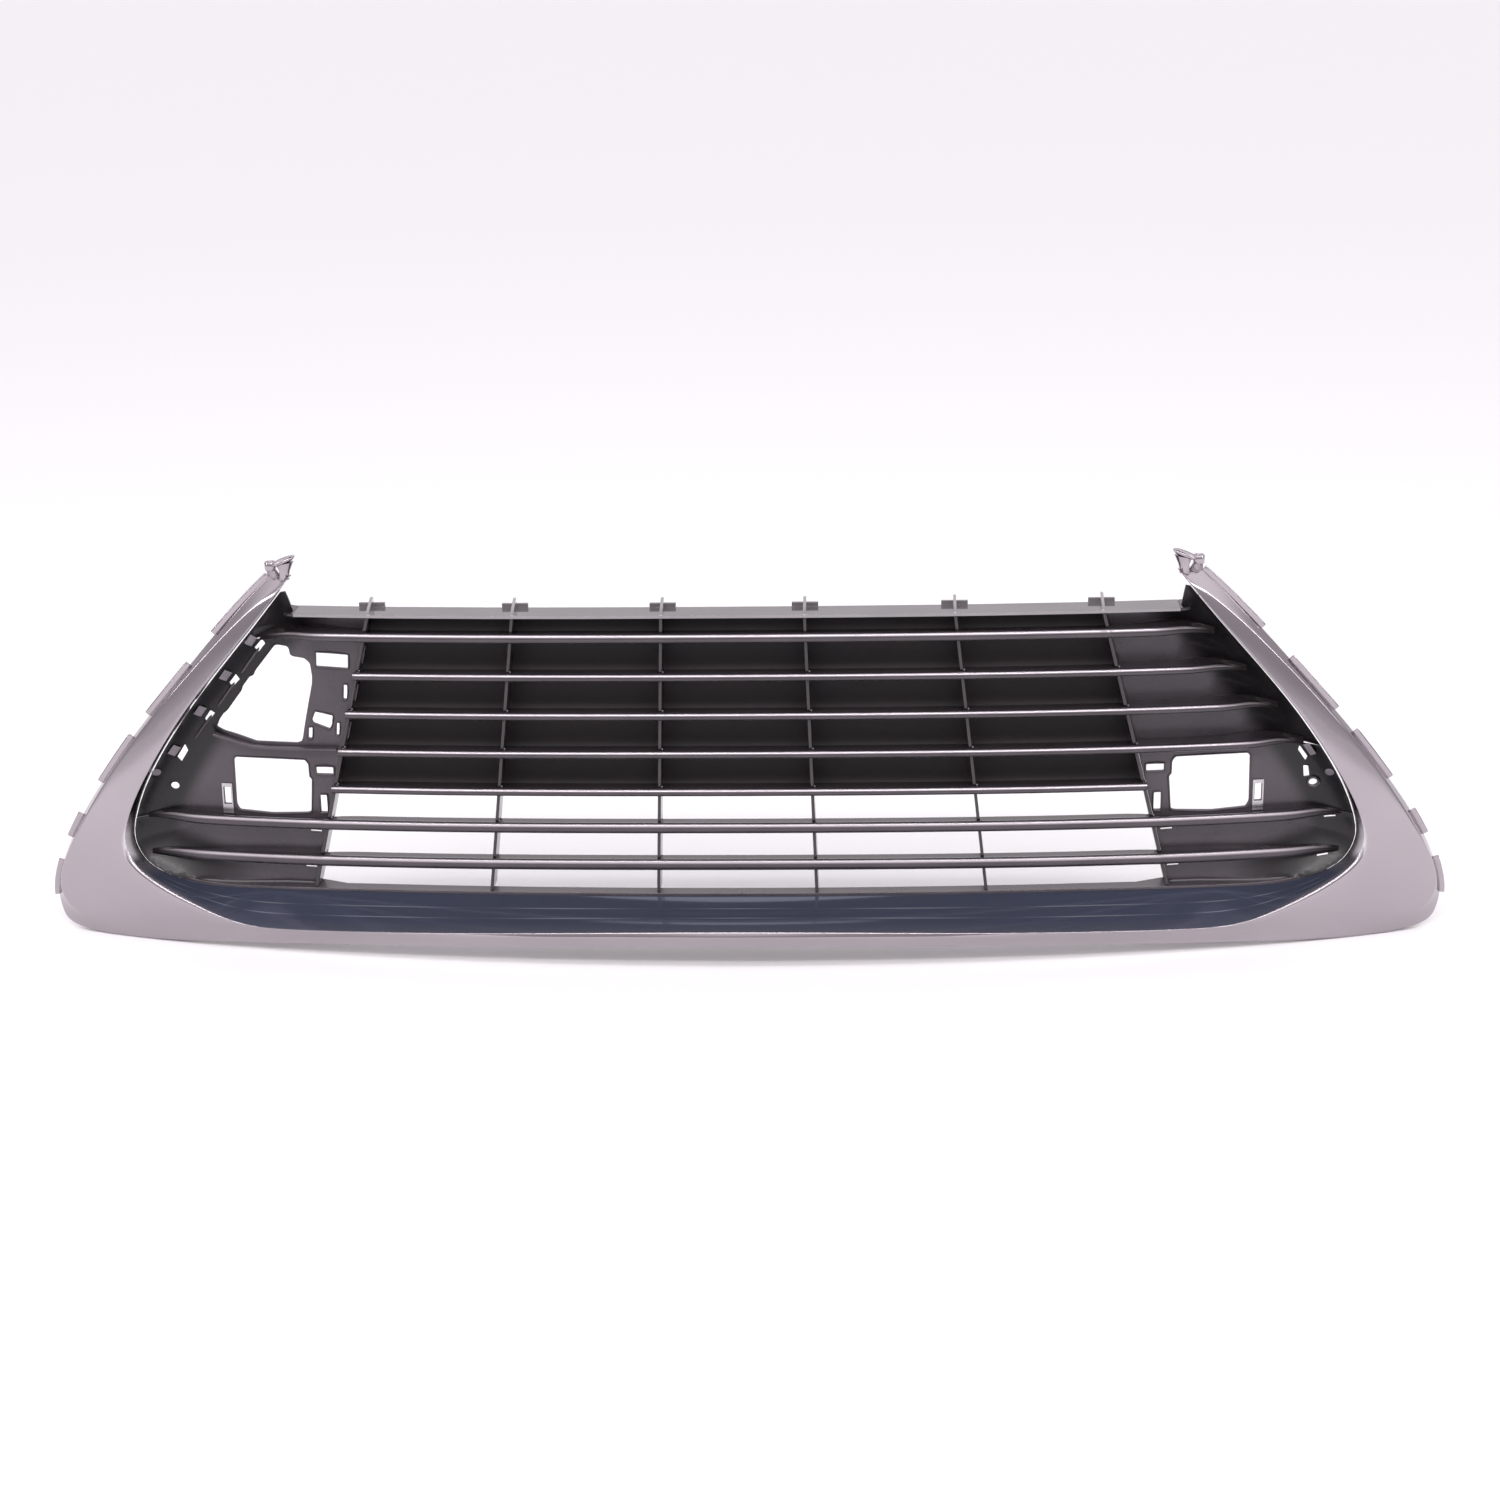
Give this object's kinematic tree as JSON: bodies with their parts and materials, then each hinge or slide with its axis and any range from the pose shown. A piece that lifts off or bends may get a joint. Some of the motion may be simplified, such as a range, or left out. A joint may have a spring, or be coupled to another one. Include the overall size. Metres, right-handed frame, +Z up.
{
  "type": "front grille",
  "caption": "U-shaped bright front grille surround with raked arms around horizontal louvre bars, splayed ribs, a closed back panel and two windowed side panels.",
  "frame": {"origin": "centre of the bounding box, on the car centre line", "axes": "+X to the viewer's right across the car, +Y to the rear of the car, +Z up; the front faces -Y"},
  "size_m": [1.151, 0.1072, 0.3266],
  "materials": {
    "bright_surround": "polished chromed plastic, mirror-like with a faint warm tint",
    "satin_bar": "satin dark grey with a soft metallic sheen",
    "black_frame": "moulded black, half gloss",
    "grained_back": "matt black with a fine moulded grain",
    "satin_panel": "satin dark grey",
    "clip_steel": "bright sheet steel",
    "tongue_plastic": "light grey plastic, satin"
  },
  "bodies": {
    "root": {"chrome_surround": "bright_surround", "louvre_bar_1": "satin_bar", "louvre_bar_2": "satin_bar", "louvre_bar_3": "satin_bar", "louvre_bar_4": "satin_bar", "louvre_bar_5": "satin_bar", "louvre_bar_6": "satin_bar", "louvre_bar_7": "satin_bar", "rib_1": "black_frame", "rib_2": "black_frame", "rib_3": "black_frame", "rib_4": "black_frame", "rib_5": "black_frame", "rib_6": "black_frame", "top_rail": "black_frame", "bottom_rail": "black_frame", "back_panel": "grained_back", "side_panel_right_upper": "satin_panel", "side_panel_right_window": "satin_panel", "side_panel_right_lower": "satin_panel", "side_panel_left_upper": "satin_panel", "side_panel_left_window": "satin_panel", "side_panel_left_lower": "satin_panel", "window_ledge_left": "satin_panel", "spring_clip_left": "clip_steel", "spring_clip_right": "clip_steel", "lock_tongue_left_1": "tongue_plastic", "lock_tongue_left_2": "tongue_plastic", "lock_tongue_left_3": "tongue_plastic", "lock_tongue_left_4": "tongue_plastic", "lock_tongue_right_1": "tongue_plastic"}
  },
  "joints": []
}
